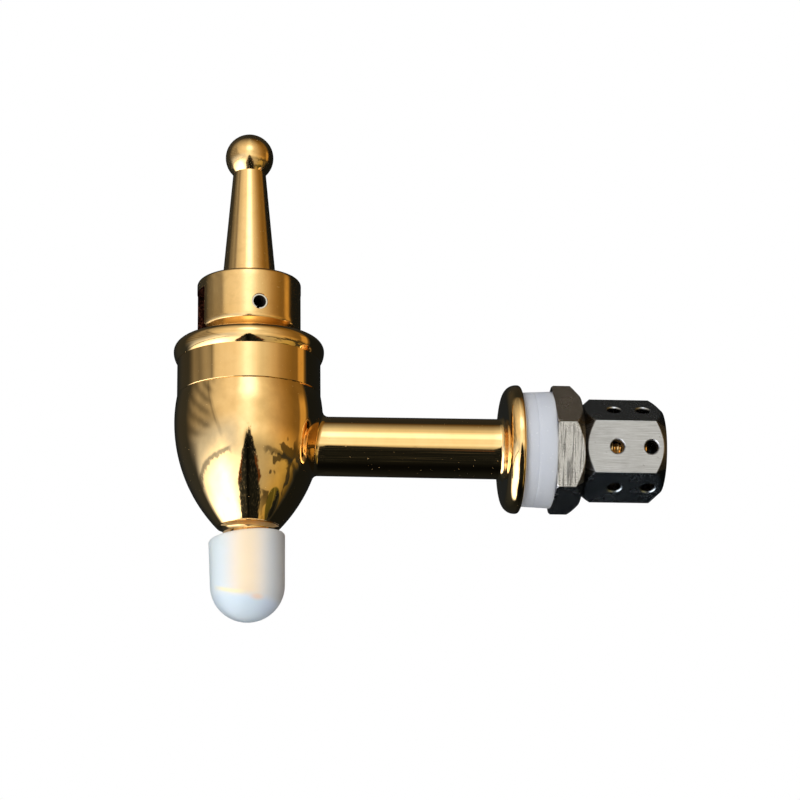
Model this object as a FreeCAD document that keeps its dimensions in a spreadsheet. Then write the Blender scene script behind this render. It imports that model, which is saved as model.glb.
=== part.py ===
import FreeCAD, Part
import math
import os

import Sketcher

# A lever-operated dispenser tap. The origin is the middle of the flange's wall face, on the shank's
# axis. +X runs through the wall into the vessel, +Z is up, and the valve stands on its own vertical
# axis at minus reach along X. Levels are heights above the shank's axis.

os.makedirs("parts", exist_ok=True)
doc = FreeCAD.newDocument("dispenser_tap")

# Driving dimensions in millimetres and degrees

SIZES = {
    # Body casting
    "reach": 57.0,
    "bowl_widest_level": 5.0,
    "bowl_radius": 15.62,
    "rim_height": 5.45,
    "rim_tuck": 0.52,
    "bowl_depth": 22.8,
    "bowl_end_radius": 6.7,
    "foot_step": 0.3,
    "foot_depth": 1.2,
    "foot_round": 1.1,
    "spout_radius": 3.85,
    "spout_bore_radius": 2.9,
    "spout_length": 13.5,
    "spout_end_round": 0.3,
    "joint_bevel": 0.15,
    "arm_radius": 6.25,
    "arm_draft": 0.13,
    "arm_wall": 2.25,
    "arm_bowl_fillet": 1.2,
    "arm_flange_fillet": 1.1,
    "flange_radius": 13.6,
    "flange_depth": 3.45,
    "flange_front_round": 2.6,
    "flange_back_round": 0.6,
    "shank_radius": 6.0,
    "shank_bevel": 0.5,
    "bowl_wall": 4.62,
    "seat_height": 4.8,
    "seat_land": 1.7,
    "moat_depth": 0.7,
    "moat_width": 1.9,
    "chamber_cone_height": 8.7,
    "socket_spare": 0.4,
    # Bonnet
    "rim_wall": 2.5,
    "screw_length": 6.2,
    "screw_bevel": 0.6,
    "screw_wall": 2.3,
    "skirt_height": 7.55,
    "bead_step": 0.08,
    "bead_overhang": 0.78,
    "bead_rise": 2.3,
    "bead_shoulder": 1.72,
    "bead_top_rise": 2.0,
    "pad_radius": 9.0,
    "pad_rise": 1.0,
    "bonnet_roof": 5.3,
    # Seals, washers and spring
    "fit_gap": 0.03,
    "running_gap": 0.05,
    "seal_width": 1.1,
    "o_ring_width": 1.4,
    "gland_spare": 0.2,
    "washer_thickness": 0.8,
    "washer_margin": 0.7,
    "wire_radius": 0.5,
    "spring_clearance": 2.05,
    "spring_turns": 7.5,
    # Stem and plug
    "stem_radius": 3.45,
    "stem_neck_radius": 2.2,
    "stem_neck_length": 2.5,
    "stem_button_radius": 3.3,
    "stem_button_height": 2.0,
    "plug_floor": 2.0,
    "plug_overhang": 1.0,
    "plug_round": 0.8,
    # Handle and pin
    "handle_turn": 9.0,
    "pin_height": 4.8,
    "pin_radius": 1.7,
    "pin_wall": 0.4,
    "pin_slit": 0.7,
    "pin_slit_turn": 15.0,
    "pin_inset": 0.3,
    "collar_radius": 11.0,
    "collar_rest_gap": 0.2,
    "collar_bevel": 1.6,
    "collar_height": 12.3,
    "collar_round": 0.8,
    "slot_gap": 0.1,
    "slot_roof_gap": 1.45,
    "lever_length": 28.63,
    "lever_foot_radius": 5.76,
    "lever_neck_radius": 3.5,
    "ball_radius": 5.14,
    # Spout cap
    "cap_radius": 8.0,
    "cap_draft": 0.25,
    "cap_rim_drop": 0.9,
    "cap_dome_rise": 2.4,
    "cap_lean": 1.0,
    "cap_shift": 0.35,
    "cap_rim_slant": 6.0,
    "cap_rim_round": 0.6,
    "cap_bore_spare": 0.3,
    # Wall fixing
    "gasket_thickness": 6.7,
    "gasket_front_radius": 12.05,
    "gasket_swell": 0.3,
    "gasket_round": 0.25,
    "nut_width": 23.65,
    "nut_thickness": 5.8,
    "nut_turn": 20.0,
    "nut_back_bevel": 1.9,
    "nut_front_bevel": 0.35,
    "strainer_width": 19.0,
    "strainer_turn": 10.0,
    "strainer_engagement": 14.4,
    "strainer_space": 1.45,
    "strainer_wall": 1.9,
    "strainer_start_bevel": 2.35,
    "strainer_end_bevel": 2.25,
    "strainer_bevel_angle": 42.0,
    "strainer_hole_radius": 1.45,
    "strainer_hole_rim": 0.25,
    "strainer_first_row": 7.15,
    "strainer_last_row_one": 1.5,
    "strainer_last_row_two": 1.55,
    "strainer_last_row_three": 2.54,
    "thread_gap": 0.06,
}

sheet = doc.addObject("Spreadsheet::Sheet", "Sizes")
for row, (alias, number) in enumerate(SIZES.items(), start=1):
    sheet.set("A%d" % row, alias)
    sheet.set("B%d" % row, str(number))
    sheet.setAlias("B%d" % row, alias)
doc.recompute()


class Size:
    """A length that carries its number and the spreadsheet expression it comes from."""

    def __init__(self, number, text):
        self.number = number
        self.text = text

    def __add__(self, other):
        other = as_size(other)
        return Size(self.number + other.number, "(%s + %s)" % (self.text, other.text))

    def __sub__(self, other):
        other = as_size(other)
        return Size(self.number - other.number, "(%s - %s)" % (self.text, other.text))

    def __mul__(self, factor):
        factor = as_size(factor)
        return Size(self.number * factor.number, "(%s * %s)" % (self.text, factor.text))

    def __truediv__(self, divisor):
        divisor = as_size(divisor)
        return Size(self.number / divisor.number, "(%s / %s)" % (self.text, divisor.text))

    def __neg__(self):
        return Size(-self.number, "(0 - %s)" % self.text)


def as_size(value):
    return value if isinstance(value, Size) else Size(float(value), repr(float(value)))


def size(alias):
    """The named cell of the sheet."""
    return Size(SIZES[alias], "Sizes.%s" % alias)


def sine(angle):
    return Size(math.sin(math.radians(angle.number)), "sin(%s * 1deg)" % angle.text)


def cosine(angle):
    return Size(math.cos(math.radians(angle.number)), "cos(%s * 1deg)" % angle.text)


def tangent(angle):
    return Size(math.tan(math.radians(angle.number)), "tan(%s * 1deg)" % angle.text)


def root(value):
    return Size(math.sqrt(value.number), "sqrt(%s)" % value.text)


def upright_arc(across, up):
    """The radius of an arc that starts straight up or down and ends that far across and up."""
    return (across * across + up * up) / (across * 2)


NOUGHT = Size(0.0, "0")


# Sketches, and the features made from them

def new_body(label):
    body = doc.addObject("PartDesign::Body", label)
    body.Label = label
    return body


def new_sketch(body, name, role):
    """An empty sketch on one of the body's own origin planes."""
    plane = next(item for item in body.Origin.OriginFeatures if item.Role == role)
    sketch = body.newObject("Sketcher::SketchObject", name)
    sketch.AttachmentSupport = [(plane, "")]
    sketch.MapMode = "FlatFace"
    return sketch


def pin_down(sketch, curve, end, point):
    """Dimension one end of a curve from the sketch's origin, each way, by expression."""
    for kind, value in (("DistanceX", point[0]), ("DistanceY", point[1])):
        if value is NOUGHT:
            axis = -2 if kind == "DistanceX" else -1
            sketch.addConstraint(Sketcher.Constraint("PointOnObject", curve, end, axis))
            continue
        index = sketch.addConstraint(Sketcher.Constraint(kind, -1, 1, curve, end, value.number))
        sketch.setExpression("Constraints[%d]" % index, value.text)


def arc_between(start, end, radius):
    """The shorter arc between two points, which bows to the left for a positive radius."""
    chord = end - start
    half = chord.Length / 2
    depth = math.sqrt(max(radius * radius - half * half, 0.0))
    left = FreeCAD.Vector(-chord.y, chord.x, 0).normalize()
    centre = (start + end) / 2 - left * math.copysign(depth, radius)
    first, last = (end, start) if radius > 0 else (start, end)
    opening = math.atan2(first.y - centre.y, first.x - centre.x)
    closing = math.atan2(last.y - centre.y, last.x - centre.x)
    if closing < opening:
        closing += 2 * math.pi
    circle = Part.Circle(centre, FreeCAD.Vector(0, 0, 1), abs(radius))
    return Part.ArcOfCircle(circle, opening, closing)


def draw(sketch, outline):
    """Draw a closed outline. Each entry is a corner (x, y) reached by a straight line, or
    (x, y, radius) reached by an arc that bows to the left for a positive radius."""
    corners = [FreeCAD.Vector(entry[0].number, entry[1].number, 0) for entry in outline]
    first_end = None
    for step in range(len(outline)):
        entry = outline[(step + 1) % len(outline)]
        start = corners[step]
        end = corners[(step + 1) % len(outline)]
        if len(entry) == 3:
            shape = arc_between(start, end, entry[2].number)
        else:
            shape = Part.LineSegment(start, end)
        curve = sketch.addGeometry(shape, False)
        # A sketch's arc always runs the same way round, so its start may be its second end
        forward = shape.StartPoint.distanceToPoint(start) < 1e-6
        near, far = (1, 2) if forward else (2, 1)
        if first_end is None:
            first_end = (curve, near)
        else:
            sketch.addConstraint(Sketcher.Constraint("Coincident", *last_end, curve, near))
        if len(entry) == 3:
            index = sketch.addConstraint(Sketcher.Constraint("Radius", curve, abs(entry[2].number)))
            sketch.setExpression("Constraints[%d]" % index, "abs(%s)" % entry[2].text)
        last_end = (curve, far)
        if step < len(outline) - 1:
            pin_down(sketch, curve, far, entry)
    sketch.addConstraint(Sketcher.Constraint("Coincident", *last_end, *first_end))
    pin_down(sketch, *first_end, outline[0])


def draw_circle(sketch, centre, radius):
    """A circle dimensioned by its centre and radius."""
    middle = FreeCAD.Vector(centre[0].number, centre[1].number, 0)
    curve = sketch.addGeometry(Part.Circle(middle, FreeCAD.Vector(0, 0, 1), radius.number), False)
    index = sketch.addConstraint(Sketcher.Constraint("Radius", curve, radius.number))
    sketch.setExpression("Constraints[%d]" % index, radius.text)
    pin_down(sketch, curve, 3, centre)


def spin(body, name, axis, outline, kind="PartDesign::Revolution"):
    """Turn an outline, drawn as (along X, along Z), once round the body's X or Z axis."""
    sketch = new_sketch(body, name + "_outline", "XZ_Plane")
    draw(sketch, outline)
    feature = body.newObject(kind, name)
    feature.Profile = sketch
    feature.ReferenceAxis = (sketch, ["V_Axis" if axis == "Z" else "H_Axis"])
    feature.Angle = 360.0
    doc.recompute()
    return feature


def bore_out(body, name, axis, outline):
    """Cut a turned hollow, and make sure that it took metal away."""
    before = body.Shape.Volume
    feature = spin(body, name, axis, outline, "PartDesign::Groove")
    assert body.Shape.Volume < before, name
    return feature


def cut_through(body, name, role, drawing):
    """Cut a drawing right through the body, both ways from one of its origin planes."""
    before = body.Shape.Volume
    sketch = new_sketch(body, name + "_outline", role)
    drawing(sketch)
    feature = body.newObject("PartDesign::Pocket", name)
    feature.Profile = sketch
    feature.Type = "ThroughAll"
    feature.Midplane = True
    doc.recompute()
    assert body.Shape.Volume < before, name
    return feature


def raise_prism(body, name, role, drawing, length, midplane=False):
    """Pad a drawing by a length, one way or half each way."""
    sketch = new_sketch(body, name + "_outline", role)
    drawing(sketch)
    feature = body.newObject("PartDesign::Pad", name)
    feature.Profile = sketch
    feature.setExpression("Length", length.text)
    feature.Midplane = midplane
    doc.recompute()
    return feature


def hexagon(width):
    """The six corners of a hexagon, from its width across flats, with flats square to Y."""
    corner = width / root(as_size(3))
    half = width / 2
    short = corner / 2
    return [(NOUGHT, corner), (-half, short), (-half, -short),
            (NOUGHT, -corner), (half, -short), (half, short)]


def edges_where(shape, test):
    """The names of the edges that pass a test. A pole's edge has no length and is passed over."""
    numbered = enumerate(shape.Edges, start=1)
    return ["Edge%d" % number for number, edge in numbered if not edge.Degenerated and test(edge)]


def dress(body, kind, name, edges, value):
    """A fillet or chamfer on named edges of the body's last feature."""
    assert edges, name
    base = body.Tip
    feature = body.newObject(kind, name)
    feature.Base = (base, edges)
    feature.setExpression("Radius" if kind == "PartDesign::Fillet" else "Size", value.text)
    doc.recompute()
    return feature


def place(body, along=NOUGHT, up=NOUGHT, turned=None, axis=(0, 0, 1)):
    """Move a finished body from its own frame to its place, and turn it about one axis."""
    if turned is not None:
        body.Placement.Rotation = FreeCAD.Rotation(FreeCAD.Vector(*axis), 1.0)
        body.setExpression("Placement.Rotation.Angle", "%s * 1deg" % turned.text)
    body.setExpression("Placement.Base.x", along.text)
    body.setExpression("Placement.Base.z", up.text)


# Radii and levels that several pieces share, each worked out from the one that carries it

fit = size("fit_gap")
running = size("running_gap")
valve_axis = -size("reach")

bowl = size("bowl_radius")
rim = bowl - size("rim_tuck")
screw = rim - size("rim_wall")
stem = size("stem_radius")
neck = size("stem_neck_radius")
button = size("stem_button_radius")
seat_radius = size("spout_bore_radius") + size("seat_land")
wire = size("wire_radius")
coil_radius = stem + size("spring_clearance") + wire
shank = size("shank_radius")
thread_bore = shank + size("thread_gap")

widest = size("bowl_widest_level")
joint = widest + size("rim_height")
foot = widest - size("bowl_depth")
foot_end = foot - size("foot_depth")
spout_end = foot_end - size("spout_length")
seat = foot + size("seat_height")
button_end = seat + size("plug_floor")
neck_end = button_end + size("stem_button_height")
plug_top = neck_end + size("stem_neck_length")
spring_foot = plug_top + size("washer_thickness")
bead_foot = joint + size("skirt_height")
bead_level = bead_foot + size("bead_rise")
bead_top_level = bead_level + size("bead_top_rise")
pad_level = bead_top_level + size("pad_rise")
gland_face = pad_level - size("bonnet_roof")
spring_head = gland_face - size("washer_thickness")
collar_foot = pad_level + size("collar_rest_gap")
pin_level = collar_foot + size("pin_height")

nut_face = size("gasket_thickness")
strainer_face = nut_face + size("nut_thickness")
shank_tip = strainer_face + size("strainer_engagement")


# Body: bowl, spout, arm, wall flange and threaded shank, cast and turned as one piece

spigot = new_body("spigot_body")
rim_bevel = size("joint_bevel")
bowl_end = size("bowl_end_radius")
foot_radius = bowl_end - size("foot_step")
foot_round = size("foot_round")
spout = size("spout_radius")
spout_round = size("spout_end_round")
spin(spigot, "bowl_and_spout", "Z", [
    (NOUGHT, joint),
    (rim - rim_bevel, joint),
    (rim, joint - rim_bevel),
    (bowl, widest, upright_arc(bowl - rim, joint - widest)),
    (bowl_end, foot, upright_arc(bowl - bowl_end, widest - foot)),
    (foot_radius, foot),
    (foot_radius, foot_end + foot_round),
    (foot_radius - foot_round, foot_end, foot_round),
    (spout, foot_end),
    (spout, spout_end + spout_round),
    (spout - spout_round, spout_end, spout_round),
    (NOUGHT, spout_end),
])

flange_back = size("reach")
flange_front = flange_back - size("flange_depth")
flange = size("flange_radius")
front_round = size("flange_front_round")
back_round = size("flange_back_round")
arm = size("arm_radius")
arm_end = arm + size("arm_draft")
arm_fillet = size("arm_flange_fillet")
shank_end = flange_back + shank_tip
shank_bevel = size("shank_bevel")
arm_root = bowl / 2
spin(spigot, "arm_flange_and_shank", "X", [
    (arm_root, NOUGHT),
    (arm_root, arm),
    (flange_front - arm_fillet, arm_end),
    (flange_front, arm_end + arm_fillet, -arm_fillet),
    (flange_front, flange - front_round),
    (flange_front + front_round, flange, front_round),
    (flange_back - back_round, flange),
    (flange_back, flange - back_round, back_round),
    (flange_back, shank),
    (shank_end - shank_bevel, shank),
    (shank_end, shank - shank_bevel),
    (shank_end, NOUGHT),
])


def where_arm_meets_bowl(edge):
    """True of the closed seam that runs round the arm on the bowl's wall."""
    spots = edge.discretize(9)
    near_arm = all(abs(math.hypot(spot.y, spot.z) - SIZES["arm_radius"]) < 0.2 for spot in spots)
    return near_arm and max(spot.x for spot in spots) < SIZES["bowl_radius"]


dress(spigot, "PartDesign::Fillet", "arm_fillet",
      edges_where(spigot.Shape, where_arm_meets_bowl), size("arm_bowl_fillet"))

chamber = bowl - size("bowl_wall")
chamber_floor = seat - size("moat_depth")
socket = screw + fit
seal_seat = screw + size("seal_width") + fit * 2
seal_floor = joint - size("seal_width") - fit * 2
socket_floor = joint - size("screw_length") - size("socket_spare")
bore_out(spigot, "chamber_and_seat", "Z", [
    (NOUGHT, joint + 1),
    (seal_seat, joint + 1),
    (seal_seat, seal_floor),
    (socket, seal_floor),
    (socket, socket_floor),
    (chamber, socket_floor),
    (chamber, chamber_floor + size("chamber_cone_height")),
    (seat_radius + size("moat_width"), chamber_floor),
    (seat_radius, chamber_floor),
    (seat_radius, seat),
    (size("spout_bore_radius"), seat),
    (size("spout_bore_radius"), spout_end - 1),
    (NOUGHT, spout_end - 1),
])

water_bore = arm - size("arm_wall")
bore_out(spigot, "water_way", "X", [
    (chamber / 2, NOUGHT),
    (chamber / 2, water_bore),
    (shank_end + 1, water_bore),
    (shank_end + 1, NOUGHT),
])
place(spigot, along=valve_axis)


# Bonnet: turned dome with a rounded bead, screwed into the bowl's mouth

bonnet = new_body("bonnet")
screw_end = joint - size("screw_length")
screw_bevel = size("screw_bevel")
recess = screw - size("screw_wall")
bead = rim + size("bead_overhang")
bead_top = bead - size("bead_shoulder")
bead_neck = rim + size("bead_step")
spin(bonnet, "dome", "Z", [
    (NOUGHT, pad_level),
    (size("pad_radius"), pad_level),
    (bead_top, bead_top_level),
    (bead, bead_level, upright_arc(bead - bead_top, bead_top_level - bead_level)),
    (bead_neck, bead_foot, upright_arc(bead - bead_neck, bead_level - bead_foot)),
    (rim, bead_foot),
    (rim, joint + rim_bevel),
    (rim - rim_bevel, joint),
    (screw, joint),
    (screw, screw_end + screw_bevel),
    (screw - screw_bevel, screw_end),
    (NOUGHT, screw_end),
])
gland = stem + fit + size("o_ring_width") + fit
gland_roof = gland_face + size("o_ring_width") + size("gland_spare")
bore_out(bonnet, "stem_guide_and_recess", "Z", [
    (NOUGHT, pad_level + 1),
    (stem + running, pad_level + 1),
    (stem + running, gland_roof),
    (gland, gland_roof),
    (gland, gland_face),
    (recess, gland_face),
    (recess, screw_end - 1),
    (NOUGHT, screw_end - 1),
])
place(bonnet, along=valve_axis)


# Rings: the seal under the bonnet and the stem's O-ring

def o_ring(label, inside, width, middle):
    """A round-section ring on the valve axis."""
    ring = new_body(label)
    sketch = new_sketch(ring, "section_outline", "XZ_Plane")
    draw_circle(sketch, (inside + width / 2, middle), width / 2)
    feature = ring.newObject("PartDesign::Revolution", "section")
    feature.Profile = sketch
    feature.ReferenceAxis = (sketch, ["V_Axis"])
    feature.Angle = 360.0
    doc.recompute()
    place(ring, along=valve_axis)


o_ring("bonnet_seal", screw + fit, size("seal_width"), joint - size("seal_width") / 2 - fit)
o_ring("stem_o_ring", stem + fit, size("o_ring_width"),
       gland_face + size("o_ring_width") / 2 + fit)


# Steel washers: one shuts the gland and takes the spring's thrust, one sits on the plug

def washer(label, foot_level):
    """A flat washer round the stem."""
    disc = new_body(label)
    top = foot_level + size("washer_thickness")
    washer_radius = coil_radius + wire + size("washer_margin")
    spin(disc, "disc", "Z", [
        (stem + running, foot_level),
        (stem + running, top),
        (washer_radius, top),
        (washer_radius, foot_level),
    ])
    return disc


place(washer("gland_washer", spring_head), along=valve_axis)
place(washer("plug_washer", plug_top), along=valve_axis)


# Stem: a rod with a round head for the pin, a shoulder, a neck and a button that holds the plug

rod = new_body("valve_stem")
spin(rod, "rod", "Z", [
    (NOUGHT, pin_level + stem),
    (stem, pin_level, stem),
    (stem, plug_top),
    (neck, plug_top),
    (neck, neck_end),
    (button, neck_end),
    (button, button_end),
    (NOUGHT, button_end),
])
cut_through(rod, "pin_eye", "XZ_Plane",
            lambda sketch: draw_circle(sketch, (NOUGHT, pin_level), size("pin_radius") + running))
place(rod, along=valve_axis, turned=size("handle_turn"))


# Plug: silicone, stretched over the stem's button, shutting the seat with its flat face

plug = new_body("seat_plug")
plug_radius = seat_radius + size("plug_overhang")
plug_round = size("plug_round")
spin(plug, "plug", "Z", [
    (neck + fit, plug_top),
    (plug_radius - plug_round, plug_top),
    (plug_radius, plug_top - plug_round, plug_round),
    (plug_radius, seat + plug_round),
    (plug_radius - plug_round, seat, plug_round),
    (NOUGHT, seat),
    (NOUGHT, button_end - fit),
    (button + fit, button_end - fit),
    (button + fit, neck_end + fit),
    (neck + fit, neck_end + fit),
])
place(plug, along=valve_axis)


# Spring: round wire between the two washers

spring = new_body("return_spring")
wire_sketch = new_sketch(spring, "wire_outline", "XZ_Plane")
draw_circle(wire_sketch, (coil_radius, spring_foot + wire), wire)
coil = spring.newObject("PartDesign::AdditiveHelix", "coil")
coil.Profile = wire_sketch
coil.ReferenceAxis = (wire_sketch, ["V_Axis"])
coil.Mode = 2
coil.setExpression("Height", (spring_head - spring_foot - wire * 2).text)
coil.setExpression("Turns", size("spring_turns").text)
doc.recompute()
place(spring, along=valve_axis)


# Handle: ball, tapered lever and slotted collar turned as one piece

handle = new_body("tilt_handle")
collar = size("collar_radius")
bevel = size("collar_bevel")
collar_top = collar_foot + size("collar_height")
collar_round = size("collar_round")
ball = size("ball_radius")
ball_level = collar_top + size("lever_length")
lever_neck = size("lever_neck_radius")
lever_top = ball_level - root(ball * ball - lever_neck * lever_neck)
spin(handle, "lever_and_collar", "Z", [
    (NOUGHT, ball_level + ball),
    (ball, ball_level, ball),
    (lever_neck, lever_top, ball),
    (size("lever_foot_radius"), collar_top),
    (collar - collar_round, collar_top),
    (collar, collar_top - collar_round, collar_round),
    (collar, collar_foot + bevel),
    (collar - bevel, collar_foot),
    (NOUGHT, collar_foot),
])
slot = stem + size("slot_gap")
slot_roof = pin_level + stem + size("slot_roof_gap")
cut_through(handle, "slot", "YZ_Plane", lambda sketch: draw(sketch, [
    (-slot, collar_foot - 1),
    (-slot, slot_roof),
    (slot, slot_roof),
    (slot, collar_foot - 1),
]))
cut_through(handle, "pin_hole", "XZ_Plane",
            lambda sketch: draw_circle(sketch, (NOUGHT, pin_level), size("pin_radius") + fit))
place(handle, along=valve_axis, turned=size("handle_turn"))


# Pin: a slit tube rolled from spring steel

pin = new_body("roll_pin")
pin_radius = size("pin_radius")
pin_bore = pin_radius - size("pin_wall")
pin_length = (collar - size("pin_inset")) * 2


def ring_section(sketch):
    draw_circle(sketch, (NOUGHT, pin_level), pin_radius)
    draw_circle(sketch, (NOUGHT, pin_level), pin_bore)


def slit_section(sketch):
    """A narrow strip from the pin's middle out through its wall, turned down and to the left."""
    angle = size("pin_slit_turn")
    half = size("pin_slit") / 2
    out = pin_radius * 2
    side = (cosine(angle) * half, sine(angle) * half)
    tip = (-(sine(angle) * out), -(cosine(angle) * out))
    draw(sketch, [
        (side[0], pin_level - side[1]),
        (tip[0] + side[0], pin_level + tip[1] - side[1]),
        (tip[0] - side[0], pin_level + tip[1] + side[1]),
        (-side[0], pin_level + side[1]),
    ])


raise_prism(pin, "tube", "XZ_Plane", ring_section, pin_length, midplane=True)
cut_through(pin, "slit", "XZ_Plane", slit_section)
place(pin, along=valve_axis, turned=size("handle_turn"))


# Spout cap: thick silicone with a domed end and a slanting rim, pushed up over the spout

cap = new_body("spout_cap")
cap_radius = size("cap_radius")
cap_end = cap_radius - size("cap_draft")
cap_rim = foot_end - size("cap_rim_drop")
cap_dome = spout_end + size("cap_dome_rise") - cap_rim
cap_slope = tangent(size("cap_rim_slant"))
rim_reach = cap_radius * 2
thimble = new_sketch(cap, "thimble_outline", "XZ_Plane")
draw(thimble, [
    (NOUGHT, rim_reach * cap_slope),
    (cap_radius, rim_reach * cap_slope),
    (cap_end, cap_dome),
    (NOUGHT, cap_dome - cap_end, cap_end),
])
thimble.AttachmentOffset.Rotation = FreeCAD.Rotation(FreeCAD.Vector(0, 0, 1), 1.0)
thimble.setExpression("AttachmentOffset.Rotation.Angle", "Sizes.cap_lean * 1deg")
thimble.setExpression("AttachmentOffset.Base.x", "0 - Sizes.cap_shift")
thimble_form = cap.newObject("PartDesign::Revolution", "thimble")
thimble_form.Profile = thimble
thimble_form.ReferenceAxis = (thimble, ["V_Axis"])
thimble_form.Angle = 360.0
doc.recompute()
cut_through(cap, "slanting_rim", "XZ_Plane", lambda sketch: draw(sketch, [
    (-rim_reach, -(rim_reach * cap_slope)),
    (-rim_reach, rim_reach),
    (rim_reach, rim_reach),
    (rim_reach, rim_reach * cap_slope),
]))


def round_the_rim(edge):
    """True of the edge round the slanting rim."""
    return all(abs(spot.z - spot.x * cap_slope.number) < 0.05 for spot in edge.discretize(7))


dress(cap, "PartDesign::Fillet", "rim_rounding", edges_where(cap.Shape, round_the_rim),
      size("cap_rim_round"))
cap_bore_end = spout_end - size("cap_bore_spare") - cap_rim
bore_out(cap, "blind_bore", "Z", [
    (NOUGHT, rim_reach),
    (spout + running, rim_reach),
    (spout + running, cap_bore_end),
    (NOUGHT, cap_bore_end),
])
place(cap, along=valve_axis, up=cap_rim)


# Wall gasket: moulded silicone, a little larger at the nut

gasket = new_body("flange_gasket")
gasket_round = size("gasket_round")
front = size("gasket_front_radius")
back = front + size("gasket_swell")
spin(gasket, "ring", "X", [
    (NOUGHT, thread_bore),
    (NOUGHT, front - gasket_round),
    (gasket_round, front, gasket_round),
    (nut_face - gasket_round, back),
    (nut_face, back - gasket_round, gasket_round),
    (nut_face, thread_bore),
])
place(gasket)


# Lock nut: hexagon steel, faced flat at the gasket and heavily bevelled at the strainer

nut = new_body("lock_nut")
nut_width = size("nut_width")
nut_corner = nut_width / root(as_size(3))
nut_length = size("nut_thickness")
raise_prism(nut, "hexagon", "YZ_Plane",
            lambda sketch: draw(sketch, hexagon(nut_width)), nut_length)


def bevel_ring(body, name, face, corner, radial, axial):
    """Turn the corners off one end of a hexagon. Axial is positive towards the solid."""
    beyond = as_size(1)
    bore_out(body, name, "X", [
        (face, corner - radial),
        (face, corner + beyond),
        (face + axial + axial / radial * beyond, corner + beyond),
    ])


back_bevel = size("nut_back_bevel")
front_bevel = size("nut_front_bevel")
bevel_ring(nut, "back_bevel", nut_length, nut_corner, back_bevel, -back_bevel)
bevel_ring(nut, "front_bevel", NOUGHT, nut_corner, front_bevel, front_bevel)
bore_out(nut, "threaded_bore", "X", [
    (as_size(-1), NOUGHT),
    (as_size(-1), thread_bore),
    (nut_length + 1, thread_bore),
    (nut_length + 1, NOUGHT),
])
place(nut, along=nut_face, turned=size("nut_turn"), axis=(1, 0, 0))


# Strainer: hexagon steel cap, screwed over the shank's end, with two holes in each flat

strainer = new_body("strainer_cap")
strainer_width = size("strainer_width")
strainer_corner = strainer_width / root(as_size(3))
strainer_floor = size("strainer_engagement") + size("strainer_space")
strainer_length = strainer_floor + size("strainer_wall")
raise_prism(strainer, "hexagon", "YZ_Plane",
            lambda sketch: draw(sketch, hexagon(strainer_width)), strainer_length)
end_radial = size("strainer_end_bevel")
start_radial = size("strainer_start_bevel")
bevel_slope = tangent(size("strainer_bevel_angle"))
end_axial = end_radial / bevel_slope
start_axial = start_radial / bevel_slope
bevel_ring(strainer, "end_bevel", strainer_length, strainer_corner, end_radial, -end_axial)
bevel_ring(strainer, "start_bevel", NOUGHT, strainer_corner, start_radial, start_axial)
bore_out(strainer, "threaded_bore", "X", [
    (as_size(-1), NOUGHT),
    (as_size(-1), thread_bore),
    (strainer_floor, thread_bore),
    (strainer_floor, NOUGHT),
])


def drill_flats(name, from_floor, angle):
    """Two holes right through a pair of opposite flats, one near each end of the hollow."""
    before = strainer.Shape.Volume
    sketch = new_sketch(strainer, name + "_outline", "XZ_Plane")
    sketch.AttachmentOffset = FreeCAD.Placement(
        FreeCAD.Vector(), FreeCAD.Rotation(FreeCAD.Vector(1, 0, 0), angle))
    hole = size("strainer_hole_radius")
    draw_circle(sketch, (size("strainer_first_row"), NOUGHT), hole)
    draw_circle(sketch, (strainer_floor - from_floor, NOUGHT), hole)
    feature = strainer.newObject("PartDesign::Pocket", name)
    feature.Profile = sketch
    feature.Type = "ThroughAll"
    feature.Midplane = True
    doc.recompute()
    assert strainer.Shape.Volume < before, name


drill_flats("first_flat_holes", size("strainer_last_row_one"), 0)
drill_flats("second_flat_holes", size("strainer_last_row_two"), 60)
drill_flats("third_flat_holes", size("strainer_last_row_three"), 120)


def hole_mouth(edge):
    """True of the round edge of a hole on a flat."""
    if not isinstance(edge.Curve, Part.Circle):
        return False
    middle = edge.Curve.Center
    on_flat = abs(math.hypot(middle.y, middle.z) - SIZES["strainer_width"] / 2) < 0.01
    return on_flat and abs(edge.Curve.Radius - SIZES["strainer_hole_radius"]) < 0.01


dress(strainer, "PartDesign::Chamfer", "hole_rims", edges_where(strainer.Shape, hole_mouth),
      size("strainer_hole_rim"))
place(strainer, along=strainer_face, turned=size("strainer_turn"), axis=(1, 0, 0))


# Check every object, then write each piece

doc.recompute()
for item in doc.Objects:
    if "Invalid" in item.State or "Error" in item.State:
        raise RuntimeError("%s failed: %s" % (item.Label, item.State))

pieces = [item for item in doc.Objects if item.isDerivedFrom("PartDesign::Body")]
for piece in pieces:
    if piece.Shape.isNull() or not piece.Shape.isValid() or piece.Shape.Volume <= 0:
        raise RuntimeError("%s has no sound shape" % piece.Label)

for piece in pieces:
    piece.Shape.exportStep(os.path.join("parts", piece.Label + ".step"))
    box = piece.Shape.BoundBox
    print("%-14s %9.1f mm3  x %6.2f..%6.2f  y %6.2f..%6.2f  z %6.2f..%6.2f" % (
        piece.Label, piece.Shape.Volume, box.XMin, box.XMax, box.YMin, box.YMax, box.ZMin, box.ZMax))
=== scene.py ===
import math

import bmesh
import bpy
import numpy as np
from mathutils import Matrix, Vector


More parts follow.
